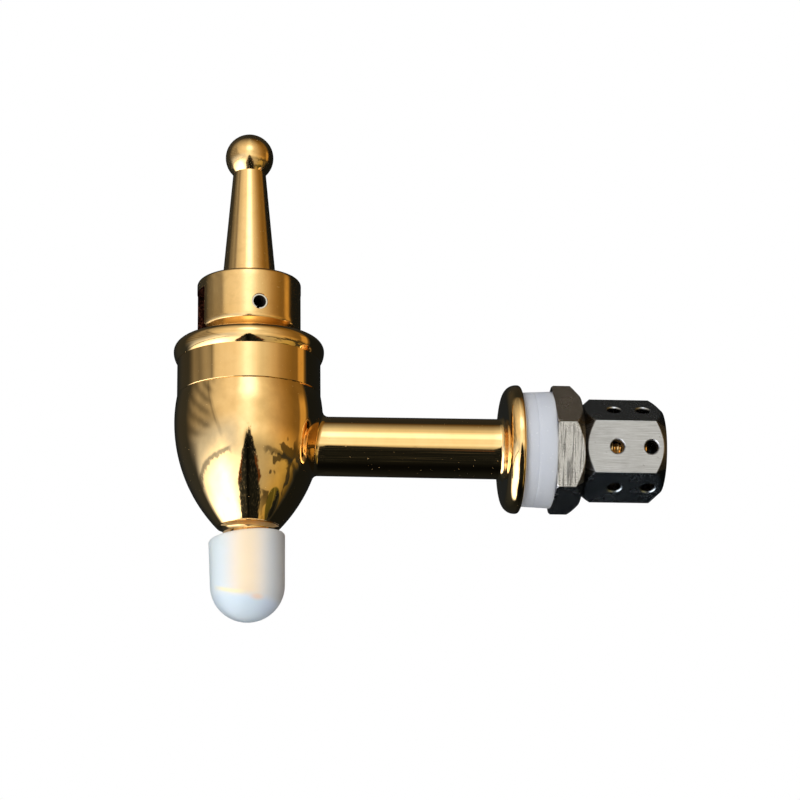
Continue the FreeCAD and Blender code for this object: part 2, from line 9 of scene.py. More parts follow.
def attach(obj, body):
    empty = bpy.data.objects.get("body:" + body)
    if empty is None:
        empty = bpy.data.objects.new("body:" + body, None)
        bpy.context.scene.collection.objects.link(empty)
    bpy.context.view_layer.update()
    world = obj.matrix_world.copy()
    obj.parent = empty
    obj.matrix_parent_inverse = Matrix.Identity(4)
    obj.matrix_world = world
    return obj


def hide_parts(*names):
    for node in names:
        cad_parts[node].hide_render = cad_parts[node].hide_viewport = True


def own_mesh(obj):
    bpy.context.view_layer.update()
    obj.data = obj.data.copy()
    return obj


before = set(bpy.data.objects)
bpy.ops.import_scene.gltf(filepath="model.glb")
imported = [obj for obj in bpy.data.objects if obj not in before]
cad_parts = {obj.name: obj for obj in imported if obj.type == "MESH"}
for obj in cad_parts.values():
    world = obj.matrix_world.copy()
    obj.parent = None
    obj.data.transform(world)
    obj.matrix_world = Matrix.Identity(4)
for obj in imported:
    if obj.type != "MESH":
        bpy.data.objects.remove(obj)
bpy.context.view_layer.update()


# The body casting: bowl, spout, arm, wall flange and threaded shank.
# Cast in brass as one piece, turned, polished to a mirror and plated the colour of gold.
# The valve's axis stands upright at minus reach, and the arm and shank lie along X. In millimetres.

MM = 0.001
reach = 57.0
joint = 10.45
widest = 5.0
bowl_radius = 15.62
rim_radius = 15.1
foot_top = -17.8
foot_foot = -19.0
bowl_end_radius = 6.7
foot_radius = 6.4
foot_round = 1.1
spout_radius = 3.85
spout_bore = 2.9
spout_end = -32.5
screw_radius = 12.6


def at_angle(radius, angle, along, axis="Z"):
    """Points at an angle round an axis: radius * cos(angle), radius * sin(angle), along. About X they
    are along, radius * sin(angle), radius * cos(angle)."""
    across, beside = radius * np.cos(angle), radius * np.sin(angle)
    order = (across, beside, along) if axis == "Z" else (along, beside, across)
    return np.stack(np.broadcast_arrays(*order), axis=-1)


def turned(profile, columns=256, axis="Z"):
    """A profile of (radius, along) points carried round an axis: once round in a number of columns, so
    that the last lies on the first, or through the angles given."""
    angle = np.linspace(0.0, 2 * np.pi, columns + 1) if np.ndim(columns) == 0 else columns
    radius, along = np.array(profile, float).T[:, :, None]
    return at_angle(radius, angle, along, axis)


def rod(radius, low, high):
    """The profile of a solid rod."""
    return [(0.0, low), (radius, low), (radius, high), (0.0, high)]


def arc(start, end, radius, count):
    """Points on the shorter arc between two (radius, along) points, bowing to the left of the way
    from start to end for a positive radius. The start is left out."""
    start, end = np.array(start, float), np.array(end, float)
    chord = end - start
    half = np.hypot(*chord) / 2
    left = np.array([-chord[1], chord[0]]) / (2 * half)
    depth = math.sqrt(max(radius * radius - half * half, 0.0))
    centre = (start + end) / 2 - left * math.copysign(depth, radius)
    first = math.atan2(*(start - centre)[::-1])
    swing = math.atan2(*(end - centre)[::-1]) - first
    swing = (swing + math.pi) % (2 * math.pi) - math.pi
    angle = first + swing * np.linspace(0.0, 1.0, count + 1)[1:]
    return [tuple(centre + abs(radius) * np.array([math.cos(a), math.sin(a)])) for a in angle]


def run(start, end, count):
    """Evenly spaced points on a straight line. The start is left out."""
    share = np.linspace(0.0, 1.0, count + 1)[1:, None]
    return [tuple(p) for p in np.array(start, float) + (np.array(end, float) - start) * share]


def traced(*steps):
    """A profile of (radius, along) points from its steps: a corner, or an end and a count for a straight
    run, or an end, a radius and a count for an arc."""
    points = []
    for step in steps:
        if np.ndim(step[0]) == 0:
            points.append(step)
        elif len(step) == 2:
            points += run(points[-1], *step)
        else:
            points += arc(points[-1], *step)
    return points


def built(name, patches, crease=32.0):
    """One closed mesh from grids of points in millimetres, each (rows, columns, 3). Neighbouring
    points make quads, coincident points are merged, and edges sharper than crease stay sharp."""
    points, faces, count = [], [], 0
    for patch in patches:
        rows, columns = patch.shape[:2]
        index = count + np.arange(rows * columns).reshape(rows, columns)
        quads = [index[:-1, :-1], index[:-1, 1:], index[1:, 1:], index[1:, :-1]]
        faces.append(np.stack(quads, axis=-1).reshape(-1, 4))
        points.append(patch.reshape(-1, 3) * MM)
        count += rows * columns
    mesh = bpy.data.meshes.new(name)
    mesh.from_pydata(np.concatenate(points).tolist(), [], np.concatenate(faces).tolist())
    form = bmesh.new()
    form.from_mesh(mesh)
    bmesh.ops.remove_doubles(form, verts=form.verts, dist=2e-7)
    bmesh.ops.dissolve_degenerate(form, edges=form.edges, dist=1e-7)
    bmesh.ops.recalc_face_normals(form, faces=form.faces)
    form.to_mesh(mesh)
    form.free()
    piece = bpy.data.objects.new(name, mesh)
    bpy.context.collection.objects.link(piece)
    smooth(mesh, crease)
    return piece


def smooth(mesh, crease=32.0):
    """Smooth shading, with every edge sharper than the crease angle kept sharp."""
    mesh.polygons.foreach_set("use_smooth", np.ones(len(mesh.polygons), bool))
    mesh.set_sharp_from_angle(angle=math.radians(crease))


def cut(piece, *tools):
    """Takes the tools' solids out of a piece, and deletes the tools."""
    bpy.context.view_layer.update()
    for tool in tools:
        step = piece.modifiers.new("cut", "BOOLEAN")
        step.operation = "DIFFERENCE"
        step.solver = "EXACT"
        step.object = tool
    graph = bpy.context.evaluated_depsgraph_get()
    result = bpy.data.meshes.new_from_object(piece.evaluated_get(graph))
    piece.modifiers.clear()
    piece.data = result
    result.materials.clear()
    for tool in tools:
        bpy.data.objects.remove(tool)
    smooth(result)
    return piece


def bulge(widest_radius, end_radius, height):
    """The radius of an arc that is widest at one level and has drawn in to the end radius a height
    away: (drawn in squared + height squared) / twice drawn in."""
    drawn_in = widest_radius - end_radius
    return (drawn_in ** 2 + height ** 2) / (2 * drawn_in)


def bowl_profile(level):
    """The bowl's radius at a level, and the radius of its arc: one arc from the foot to the widest level
    and a flatter one from there to the rim, both with their middle on the widest level."""
    below = bulge(bowl_radius, bowl_end_radius, widest - foot_top)
    above = bulge(bowl_radius, rim_radius, joint - widest)
    bend = np.where(level < widest, below, above)
    return bowl_radius - bend + np.sqrt(bend ** 2 - (level - widest) ** 2), bend


arm_radius = 6.25
arm_draft = 0.02
arm_flange_radius = 6.38
arm_fillet = 1.2
flange_fillet = 1.1
flange_thickness = 3.45
flange_front = reach - flange_thickness
flange_radius = 13.6
shank_radius = 6.0
shank_bevel = 0.5
thread_pitch = 1.25
thread_depth = 0.767
thread_start, thread_fade = 0.6, 0.8
flank_slope, crest_flat = 2.4, 0.2
shank_end = 83.9
water_bore = 4.0
window_columns = 25
window_level = 9.0
bowl_columns = 256

# The bowl's outside, with a window left where the arm joins
joint_bevel = 0.15
upper_levels = np.concatenate([np.linspace(joint - joint_bevel, window_level, 4)[:-1],
                               np.linspace(window_level, -window_level, 49),
                               np.linspace(-window_level, foot_top, 30)[1:]])
angles = np.linspace(-np.pi, np.pi, bowl_columns + 1)


def on_bowl(angle, level):
    """The point of the bowl's wall at an angle round the valve's axis and a level."""
    return at_angle(bowl_profile(level)[0], angle, level)


wall = on_bowl(*np.broadcast_arrays(angles[None, :], upper_levels[:, None]))
left_column = bowl_columns // 2 - window_columns
right_column = bowl_columns // 2 + window_columns
top_row = int(np.argmin(abs(upper_levels - window_level)))
foot_row = int(np.argmin(abs(upper_levels + window_level)))
beside_window = wall[top_row:foot_row + 1]
wall_patches = [wall[:top_row + 1], wall[foot_row:],
                beside_window[:, :left_column + 1], beside_window[:, right_column:]]

# The window's edge as one closed run of (angle, level), from its top left corner
edge = np.concatenate([np.stack(np.broadcast_arrays(*side), axis=-1) for side in (
    (angles[left_column:right_column], window_level),
    (angles[right_column], upper_levels[top_row:foot_row]),
    (angles[right_column:left_column:-1], -window_level),
    (angles[left_column], upper_levels[foot_row:top_row:-1]))])
edge = np.concatenate([edge, edge[:1]])
edge_points = on_bowl(edge[:, 0], edge[:, 1])
around = np.unwrap(np.arctan2(edge_points[:, 1], edge_points[:, 2]))

# A ball rolled round the corner between bowl and arm: its middle lies one fillet radius off both
outward = at_angle(1.0, around, 0.0, "X")
ball = outward * (arm_radius + arm_draft + arm_fillet)
wall_bend = bowl_profile(ball[:, 2])[1]
bend_middle = bowl_radius - wall_bend
reach_out = bend_middle + np.sqrt((wall_bend + arm_fillet) ** 2 - (ball[:, 2] - widest) ** 2)
ball[:, 0] = np.sqrt(reach_out ** 2 - ball[:, 1] ** 2)
from_axis = np.hypot(ball[:, 0], ball[:, 1])
bowl_normal = np.stack([ball[:, 0] / from_axis * (from_axis - bend_middle),
                        ball[:, 1] / from_axis * (from_axis - bend_middle),
                        ball[:, 2] - widest], axis=-1)
bowl_normal /= np.linalg.norm(bowl_normal, axis=-1, keepdims=True)
swing = np.arccos(np.clip((bowl_normal * outward).sum(-1), -1, 1))[None, :, None]
round_corner = np.linspace(0.0, 1.0, 11)[:, None, None]
fillet = ball - arm_fillet * (np.sin((1 - round_corner) * swing) * bowl_normal
                              + np.sin(round_corner * swing) * outward) / np.sin(swing)
seam = fillet[0]
seam_angle, seam_level = np.arctan2(seam[:, 1], seam[:, 0]), seam[:, 2]
to_seam = np.linspace(0.0, 1.0, 9)[:, None]
apron = on_bowl(edge[:, 0] + (seam_angle - edge[:, 0]) * to_seam,
                edge[:, 1] + (seam_level - edge[:, 1]) * to_seam)
apron[0], apron[-1] = edge_points, seam


arm_start = fillet[-1]
arm_stop = at_angle(arm_flange_radius, around, flange_front - flange_fillet, "X")
to_flange = np.linspace(0.0, 1.0, 25)[:, None, None]
arm = arm_start + (arm_stop - arm_start) * to_flange
front_round, back_round = 2.6, 0.6
flange_profile = traced(
    (arm_flange_radius, flange_front - flange_fillet),
    ((arm_flange_radius + flange_fillet, flange_front), flange_fillet, 10),
    ((flange_radius - front_round, flange_front), 4),
    ((flange_radius, flange_front + front_round), -front_round, 14),
    ((flange_radius, reach - back_round), 3),
    ((flange_radius - back_round, reach), -back_round, 8),
    ((shank_radius, reach), 3))
flange = turned(flange_profile, around, "X")

# The shank's thread: the radius falls from crest to root and back once each pitch, and the whole
# pattern moves on by one pitch for each turn round the shank
thread_rows = np.linspace(reach, shank_end, 260)
turns_round = around / (2 * np.pi)
phase = ((thread_rows[:, None] - reach) / thread_pitch - turns_round[None]) % 1.0
flank = np.clip(np.abs(phase - 0.5) * flank_slope - crest_flat, 0.0, 1.0)
from_ends = np.minimum(thread_rows - reach - thread_start, shank_end - thread_rows)
run_in = np.clip(from_ends / thread_fade, 0, 1)[:, None]
end_taper = np.clip(thread_rows - shank_end + shank_bevel, 0, None)[:, None]
thread_radius = shank_radius - end_taper - thread_depth * flank * run_in
thread = at_angle(thread_radius, around, thread_rows[:, None], "X")
shank_face = turned([(shank_radius - shank_bevel, shank_end), (0.0, shank_end)], around, "X")
thread[-1] = shank_face[0]

# The mouth with its seal groove, the chamber, the seat and the spout, turned about the valve's axis
seal_groove, screw_depth = 1.16, 6.6
chamber_radius, chamber_waist = 11.0, -5.0
chamber_floor_radius, chamber_floor = 6.5, -13.7
seat_radius, seat_top = 4.6, -13.0
mouth_radius = screw_radius + 0.03
mouth_end = joint - screw_depth
chamber = [(rim_radius, joint - joint_bevel), (rim_radius - joint_bevel, joint),
           (screw_radius + seal_groove, joint), (screw_radius + seal_groove, joint - seal_groove),
           (mouth_radius, joint - seal_groove), (mouth_radius, mouth_end),
           (chamber_radius, mouth_end), (chamber_radius, chamber_waist),
           (chamber_floor_radius, chamber_floor), (seat_radius, chamber_floor),
           (seat_radius, seat_top), (spout_bore, seat_top), (spout_bore, spout_end)]
spout_round = 0.3
spout_outside = traced(
    (spout_bore, spout_end), (spout_radius - spout_round, spout_end),
    ((spout_radius, spout_end + spout_round), spout_round, 6),
    ((spout_radius, foot_foot), 12), (foot_radius - foot_round, foot_foot),
    ((foot_radius, foot_foot + foot_round), foot_round, 10),
    (foot_radius, foot_top), (bowl_end_radius, foot_top))
to_row = np.array([-reach, 0.0, 0.0])
casting_patches = wall_patches + [apron, fillet, arm, flange, thread, shank_face,
                                  turned(chamber, angles), turned(spout_outside, angles)]
casting = built("body_casting", [patch + to_row for patch in casting_patches])
bore_start, bore_end = 8.0 - reach, 30.0
cut(casting, built("water_way_tool", [turned(rod(water_bore, bore_start, bore_end), 64, "X")]))


class Value:
    """One output socket of a material. Sums, products and the methods add nodes to it."""

    def __init__(self, finish, socket):
        self.finish = finish
        self.socket = socket

    def __add__(self, other):
        return self.finish.maths("ADD", self, other)

    def __sub__(self, other):
        return self.finish.maths("SUBTRACT", self, other)

    def __rsub__(self, other):
        return self.finish.maths("SUBTRACT", other, self)

    def __mul__(self, other):
        return self.finish.maths("MULTIPLY", self, other)

    def __truediv__(self, other):
        return self.finish.maths("DIVIDE", self, other)

    def __pow__(self, other):
        return self.finish.maths("POWER", self, other)

    __radd__ = __add__
    __rmul__ = __mul__

    def clamp(self, low=0.0, high=1.0):
        return self.finish.node("Clamp", {"Value": self, "Min": low, "Max": high})

    def ease(self, low, high):
        """0 below low, 1 above high, and an eased curve between."""
        return self.finish.node("MapRange", {"Value": self, "From Min": low, "From Max": high},
                                interpolation_type="SMOOTHSTEP")

    def fade(self, low, high):
        """1 below low, 0 above high, and an eased curve between."""
        return 1.0 - self.ease(low, high)

    def near(self, centre, inner, outer):
        """1 within inner of the centre, 0 past outer, and an eased curve between."""
        return self.finish.maths("ABSOLUTE", self - centre).fade(inner, outer)

    def noise(self, scale, detail=3.0, roughness=0.5):
        return self.finish.node("TexNoise", {"Vector": self, "Scale": scale, "Detail": detail,
                                             "Roughness": roughness})

    def parts(self):
        split = self.finish.node("SeparateXYZ", {0: self}).socket.node
        return [Value(self.finish, split.outputs[i]) for i in range(3)]


class Finish:
    """The nodes of a material, or of the world. node() adds one by its type, its settings and its
    sockets' values or links; the other methods name the nodes that the finishes share."""

    def __init__(self, name, owners=bpy.data.materials, shader="Principled BSDF"):
        self.owner = owners.new(name)
        self.owner.use_nodes = True
        self.tree = self.owner.node_tree
        self.shader = self.tree.nodes[shader]

    def fill(self, socket, value):
        if isinstance(value, Value):
            self.tree.links.new(value.socket, socket)
        else:
            socket.default_value = (*value, 1.0) if socket.type == "RGBA" else value

    def node(self, kind, inputs=None, output=0, **settings):
        made = self.tree.nodes.new("ShaderNode" + kind)
        for key, value in settings.items():
            setattr(made, key, value)
        for key, value in (inputs or {}).items():
            self.fill(made.inputs[key], value)
        return Value(self, made.outputs[output])

    def maths(self, operation, *values):
        return self.node("Math", dict(enumerate(values)), operation=operation)

    def place(self):
        return self.node("TexCoord", output="Object")

    def vector(self, x, y, z):
        return self.node("CombineXYZ", {0: x, 1: y, 2: z})

    def blend(self, share, first, second):
        """A mix of two colours."""
        return self.node("Mix", {0: share, 6: first, 7: second}, output=2, data_type="RGBA")

    def bump(self, height, strength, distance):
        return self.node("Bump", {"Height": height, "Strength": strength, "Distance": distance})

    def set(self, **values):
        for key, value in values.items():
            self.fill(self.shader.inputs[key.replace("_", " ")], value)

    def so_far(self, name):
        """What already feeds one of the shader's sockets."""
        return Value(self, self.shader.inputs[name].links[0].from_socket)


def gold(name, roughness, lines, waviness, grime):
    """Gold-coloured plate on brass. Faint turning lines lie level, the polish wanders a little, fine
    scratches cross it, and dust and grime dull it in places."""
    finish = Finish(name)
    place = finish.place()
    x, y, z = place.parts()
    cloud = place.noise(55.0, 4.0)
    haze = place.noise(420.0, 3.0, 0.6)
    dust = place.noise(2900.0, 1.0).ease(0.785, 0.80)
    rings = finish.vector(0.0, 0.0, z).noise(9000.0, 2.0)
    slant = finish.vector(x * 0.25 + z * 0.4, y * 0.4, z * 2.6 - x * 0.9)
    scratches = slant.noise(1500.0, 2.0).ease(0.68, 0.74)
    deep, pale, tarnish = (0.93, 0.61, 0.26), (0.96, 0.66, 0.31), (0.62, 0.36, 0.13)
    plate = finish.blend(cloud.ease(0.35, 0.65), deep, pale)
    worn = (haze - 0.5) * roughness * 0.9 + dust * 0.25 + scratches * 0.08
    finish.set(
        Base_Color=finish.blend(haze.ease(0.45, 0.7) * grime, plate, tarnish),
        Roughness=(roughness + worn).clamp(),
        Normal=finish.bump(rings * lines + cloud * waviness + dust * 0.01, 1.0, 0.001),
        Metallic=1.0)
    return finish


mirror_gold = gold("mirror_gold", 0.045, 0.0004, 0.008, 0.10).owner
casting.data.materials.append(mirror_gold)
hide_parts("spigot_body")
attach(casting, "root")


# The valve's inside: a turned stainless stem, the silicone plug on its button, a washer, the spring
# that shuts the valve, and the seals and washer of the gland. None of it shows but the stem's head.

def steel(name, colour, roughness, coarse):
    """Stainless steel with level tool marks."""
    finish = Finish(name)
    place = finish.place()
    x, y, z = place.parts()
    lines = finish.vector(z, 0.0, 0.0).noise(5200.0, 3.0, 0.6)
    stain = place.noise(160.0, 4.0)
    dark = tuple(c * 0.72 for c in colour)
    finish.set(
        Base_Color=finish.blend(stain.ease(0.3, 0.7), dark, colour),
        Roughness=(roughness + (stain - 0.5) * 0.12).clamp(),
        Normal=finish.bump(lines * coarse, 1.0, 0.001),
        Metallic=1.0)
    return finish.owner


def hexagon_steel(name, width, turn, painted_flat_tones, mid_rough, coarse, brushed):
    """Machined hexagon bar. The angle round X tells the flats apart: the tones are painted light and
    shade, lit and shaded colours for the flat near the front, the one above it and the rest. Marks of the
    mill run across the bar (coarse) or along it (brushed). The bevels and the holes' walls lie inside the
    flats and are painted dark as shade. The distance of a flat from the axis is the radius times the
    cosine of the angle from the flat's middle."""
    finish = Finish(name)
    place = finish.place()
    x, y, z = place.parts()
    angle = finish.maths("ARCTAN2", z, y * -1.0) + turn
    from_flat = finish.maths("FLOORED_MODULO", angle + math.pi / 6, math.pi / 3) - math.pi / 6
    apothem = (y ** 2.0 + z ** 2.0) ** 0.5 * finish.maths("COSINE", from_flat)
    painted_shade_off_flat = apothem.fade((width / 2 - 0.30) * MM, (width / 2 - 0.06) * MM)
    degrees = angle * (180 / math.pi)
    flat_mid = degrees.near(0.0, 29.0, 30.5)
    flat_top = degrees.near(60.0, 29.0, 30.5)
    sweep = from_flat * 0.012
    across = finish.vector(x, sweep * 0.06, 0.0).noise(2300.0, 2.0, 0.6)
    pits = finish.vector(x * 1.2, sweep * 0.9, 0.0).noise(5200.0, 3.0, 0.75)
    along = finish.vector(x * 0.015, sweep, 0.0).noise(9000.0, 4.0, 0.75)
    stain = place.noise(190.0, 4.0)
    nicks = place.noise(1700.0, 1.0).ease(0.74, 0.78)
    # Painted light and shade: each flat gets a lit or shaded colour of the one steel.
    mid, top, rest = painted_flat_tones
    colour = finish.blend(flat_mid, finish.blend(flat_top, rest, top), mid)
    rows = across.ease(0.51, 0.60) * 0.50 + pits.ease(0.50, 0.57) * 0.52
    streaks = along.ease(0.42, 0.62) * 0.42
    # Stains, nicks and mill marks darken the steel; off the flats, painted shade darkens the bevels and the
    # holes' walls.
    marks_and_painted_shade = (stain.ease(0.5, 0.85) * 0.15 + nicks * 0.35 + rows * coarse * flat_mid
              + streaks * brushed + painted_shade_off_flat * 0.75)
    finish.set(
        Base_Color=finish.blend(marks_and_painted_shade.clamp(), colour, (0.085, 0.08, 0.075)),
        Roughness=(flat_mid * (mid_rough - 0.26) + 0.26 + (stain - 0.5) * 0.14).clamp(),
        Normal=finish.bump(across * flat_mid * coarse * 0.06 + pits * flat_mid * coarse * 0.03
                           + along * brushed * 0.004 + stain * 0.006, 1.0, 0.001),
        Metallic=1.0)
    return finish.owner


def rubber(name, colour, roughness):
    """Moulded rubber: a fine matt grain with a few paler specks of dust."""
    finish = Finish(name)
    place = finish.place()
    grain = place.noise(3200.0, 3.0)
    dust = place.noise(900.0, 2.0).ease(0.62, 0.7)
    pale = tuple(min(1.0, c + 0.10) for c in colour)
    finish.set(
        Base_Color=finish.blend(dust * 0.5, colour, pale),
        Roughness=(roughness + (grain - 0.5) * 0.2).clamp(),
        Normal=finish.bump(grain, 0.3, 0.00002))
    return finish.owner


def silicone(name, colour, clear, roughness):
    """Moulded silicone: part of the light passes through, the rest scatters as in milk. Dust and
    small nicks sit on its skin."""
    finish = Finish(name)
    place = finish.place()
    cloud = place.noise(140.0, 3.0)
    grain = place.noise(1600.0, 3.0)
    dust = place.noise(3000.0, 1.0).ease(0.73, 0.76)
    milky = tuple(c * 0.92 for c in colour)
    body = finish.blend(cloud, milky, colour)
    finish.set(
        Base_Color=finish.blend(dust * 0.6, body, (0.97, 0.97, 0.97)),
        Roughness=(roughness + (grain - 0.5) * 0.2).clamp(),
        Normal=finish.bump(grain + dust * 2.0, 0.25, 0.00003))
    finish.set(IOR=1.41, Transmission_Weight=clear, Subsurface_Weight=0.6,
               Subsurface_Radius=(0.004, 0.0042, 0.005), Subsurface_Scale=1.0)
    return finish


def dressed(node, material):
    """Gives a CAD node that stays its material."""
    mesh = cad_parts[node].data
    mesh.materials.clear()
    mesh.materials.append(material)


turned_steel = steel("turned_steel", (0.62, 0.61, 0.59), 0.22, 0.0006)
spring_wire = steel("spring_wire", (0.66, 0.66, 0.65), 0.25, 0.0002)
black_rubber = rubber("black_rubber", (0.03, 0.03, 0.03), 0.6)
plug_silicone = silicone("plug_silicone", (0.86, 0.89, 0.93), 0.2, 0.4).owner
for node in ("valve_stem", "gland_washer", "plug_washer"):
    dressed(node, turned_steel)
for node in ("bonnet_seal", "stem_o_ring"):
    dressed(node, black_rubber)
dressed("seat_plug", plug_silicone)


# The return spring: seven and a half turns of round steel wire between the washer on the plug and the
# washer under the gland. Its lower end is pushed up by the stem, so it is shortened as the stem lifts.

spring_foot = -5.7
spring_head = 17.2
coil_radius = 6.0
spring_wire_radius = 0.5
spring_turns = 7.5


def coil_spring(radius, wire, turns, low, high, rows=721, columns=20):
    """A coiled wire and the discs that close it. At angle t the wire's middle is at radius (cos t,
    sin t) and rises evenly. The ring round it is wire times (cos u outward + sin u across), where
    across is square to the outward line and to the wire."""
    t = np.linspace(0.0, turns * 2 * math.pi, rows)
    u = np.linspace(0.0, 2 * math.pi, columns + 1)
    pitch_slope = (high - low - wire * 2) / (turns * 2 * math.pi * radius)
    outward = at_angle(1.0, t, 0.0)
    forward = at_angle(1.0, t + math.pi / 2, pitch_slope)
    across = np.cross(outward, forward / math.hypot(1.0, pitch_slope))
    middle = at_angle(radius, t, np.linspace(low + wire, high - wire, rows))
    ring = outward[:, None] * np.cos(u)[:, None] + across[:, None] * np.sin(u)[:, None]
    tube = middle[:, None] + ring * wire
    ends = [np.stack([np.broadcast_to(middle[row], tube[row].shape), tube[row]]) for row in (0, -1)]
    return [tube] + ends


def stand_at_valve(piece, turn=0.0):
    """Turns a piece about the upright axis and moves it to the valve's axis, in its own mesh."""
    spot = Matrix.Translation((-reach * MM, 0.0, 0.0))
    piece.data.transform(spot @ Matrix.Rotation(turn, 4, "Z"))


spring = built("compression_spring", coil_spring(coil_radius, spring_wire_radius, spring_turns,
                                                 spring_foot, spring_head))
stand_at_valve(spring)
spring.data.materials.append(spring_wire)
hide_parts("return_spring")
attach(spring, "swivel")
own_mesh(spring)


# The bonnet: a brass dome with a rounded bead and a straight skirt, turned from bar and plated.
# It screws into the bowl's mouth, and a fine V shows where the two meet.

bead_foot, bead_level, bead_top_level, pad_level = 18.0, 20.3, 22.3, 23.3
bead_radius, bead_top_radius, pad_radius = 15.88, 14.16, 9.0
bead_neck = 15.18
screw_end, screw_bevel = joint - 6.2, 0.6
spring_room = 10.3
gland_face, gland_roof = 18.0, 19.6
stem_bore, gland_bore = 3.5, 4.91
bonnet_profile = traced(
    (stem_bore, pad_level), (pad_radius, pad_level), ((bead_top_radius, bead_top_level), 8),
    ((bead_radius, bead_level), bulge(bead_radius, bead_top_radius, bead_top_level - bead_level), 14),
    ((bead_neck, bead_foot), bulge(bead_radius, bead_neck, bead_level - bead_foot), 12),
    (rim_radius, bead_foot), ((rim_radius, joint + joint_bevel), 10),
    (rim_radius - joint_bevel, joint), (screw_radius, joint),
    (screw_radius, screw_end + screw_bevel), (screw_radius - screw_bevel, screw_end),
    (spring_room, screw_end), (spring_room, gland_face), (gland_bore, gland_face),
    (gland_bore, gland_roof), (stem_bore, gland_roof), (stem_bore, pad_level))
bonnet = built("bonnet_dome", [turned(bonnet_profile) + to_row], crease=20.0)
bonnet.data.materials.append(mirror_gold)
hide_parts("bonnet")
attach(bonnet, "root")


# The handle: ball, tapered lever and slotted collar, turned from one bar of brass and plated.
# Its collar is slit across for the stem's head and drilled for the pin; it rocks on the bonnet's pad.

collar_foot, collar_top = 23.5, 35.8
collar_radius, collar_bevel, collar_round, bevel_bulge = 11.0, 1.6, 0.8, 4.0
lever_foot_radius, lever_neck_radius = 5.76, 3.5
ball_radius, ball_level = 5.14, 64.43
pin_level, pin_radius = 28.3, 1.7
slot_half, slot_roof = 3.55, 33.2
handle_turn = math.radians(9.0)
lever_top = ball_level - math.sqrt(ball_radius ** 2 - lever_neck_radius ** 2)
handle_profile = traced(
    (0.0, collar_foot), (collar_radius - collar_bevel, collar_foot),
    ((collar_radius, collar_foot + collar_bevel), -bevel_bulge, 10),
    ((collar_radius, collar_top - collar_round), 10),
    ((collar_radius - collar_round, collar_top), -collar_round, 8),
    ((lever_foot_radius, collar_top), 3), ((lever_neck_radius, lever_top), 30),
    ((ball_radius, ball_level), -ball_radius, 24),
    ((0.0, ball_level + ball_radius), -ball_radius, 32))


def lever_plate():
    """The handle's satin plate: turned, not polished, with the slot's walls dark red-brown and rough.
    The slot is where the distance from its middle plane and the level are both small."""
    satin = gold("satin_gold", 0.15, 0.0035, 0.003, 0.16)
    x, y, z = satin.place().parts()
    off_slot = y * math.cos(handle_turn) - (x + reach * MM) * math.sin(handle_turn)
    in_slot = (off_slot.near(0.0, (slot_half + 0.03) * MM, (slot_half + 0.25) * MM)
               * z.fade((slot_roof + 0.03) * MM, (slot_roof + 0.4) * MM))
    chips = satin.place().noise(1700.0, 3.0).ease(0.50, 0.62)
    # The slot's walls are made dark red-brown, in chips.
    slot_wall_colour = satin.blend(chips, (0.035, 0.010, 0.006), (0.16, 0.05, 0.03))
    satin.set(Base_Color=satin.blend(in_slot, satin.so_far("Base Color"), slot_wall_colour),
              Roughness=(satin.so_far("Roughness") + in_slot * 0.35).clamp())
    return satin.owner


handle = built("ball_lever", [turned(handle_profile)])
tool_half, tool_overlap, pin_clearance = 20.0, 3.0, 0.03

# The slot's tool: a rod with four corners and a half width of 1, stretched to the slot's half widths
corners = np.radians([45.0, 135.0, 225.0, 315.0, 405.0])
slot_profile = rod(math.sqrt(2), collar_foot - tool_overlap, slot_roof)
slot_tool = built("slot_tool", [turned(slot_profile, corners) * [tool_half, slot_half, 1.0]])
pin_hole = rod(pin_radius + pin_clearance, -tool_half, tool_half)
hole_tool = built("hole_tool", [turned(pin_hole, 48)])
hole_tool.data.transform(Matrix.Translation((0.0, 0.0, pin_level * MM))
                         @ Matrix.Rotation(math.radians(90), 4, "X"))
cut(handle, slot_tool, hole_tool)
stand_at_valve(handle, handle_turn)
handle.data.materials.append(lever_plate())
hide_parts("tilt_handle")
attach(handle, "handle")


# The pin: a strip of spring steel rolled into a tube with an open slit, driven through the collar
# and the stem's head. The handle rocks on it.

pin_wall, pin_slit = 0.4, 0.7
pin_half = collar_radius - 0.3
slit_turn = math.radians(15.0)
edge_round = 0.06


def slit_tube(radius, wall, slit, half, level):
    """A tube along Y with an open slit. Across the gap the section stops at the angle whose sine is
    half the slit over the radius; along Y each end has a small bevel."""
    half_gap = math.asin(slit / 2 / radius)
    start = -math.pi / 2 - slit_turn + half_gap
    angle = np.linspace(start, start + 2 * math.pi - 2 * half_gap, 72)
    rows = [(radius - wall, -half), (radius - edge_round, -half), (radius, -half + edge_round),
            (radius, half - edge_round), (radius - edge_round, half), (radius - wall, half),
            (radius - wall, -half)]
    r, y = np.array(rows).T
    skin = np.stack([r[:, None] * np.cos(angle), np.repeat(y[:, None], len(angle), axis=1),
                     level + r[:, None] * np.sin(angle)], axis=-1)
    return skin


def rolled_steel():
    """Bright rolled steel, with painted shade making it dark inside the tube. The distance from the pin's
    middle line tells its wall from its bore."""
    rolled = Finish("rolled_steel")
    x, y, z = rolled.place().parts()
    across_pin = (x + reach * MM) * math.cos(handle_turn) + y * math.sin(handle_turn)
    from_middle = (across_pin ** 2.0 + (z - pin_level * MM) ** 2.0) ** 0.5
    bore = pin_radius - pin_wall
    # Painted shade: the tube's bore is painted near black and matt.
    painted_bore_shade = from_middle.fade((bore + 0.03) * MM, (bore + 0.08) * MM)
    grain = rolled.place().noise(2600.0, 3.0)
    rolled.set(Base_Color=rolled.blend(painted_bore_shade, (0.82, 0.82, 0.81), (0.012, 0.010, 0.009)),
               Roughness=(grain * 0.1 + 0.16 + painted_bore_shade * 0.5).clamp(), Metallic=1.0 - painted_bore_shade,
               Normal=rolled.bump(grain, 0.5, 0.00001))
    return rolled.owner


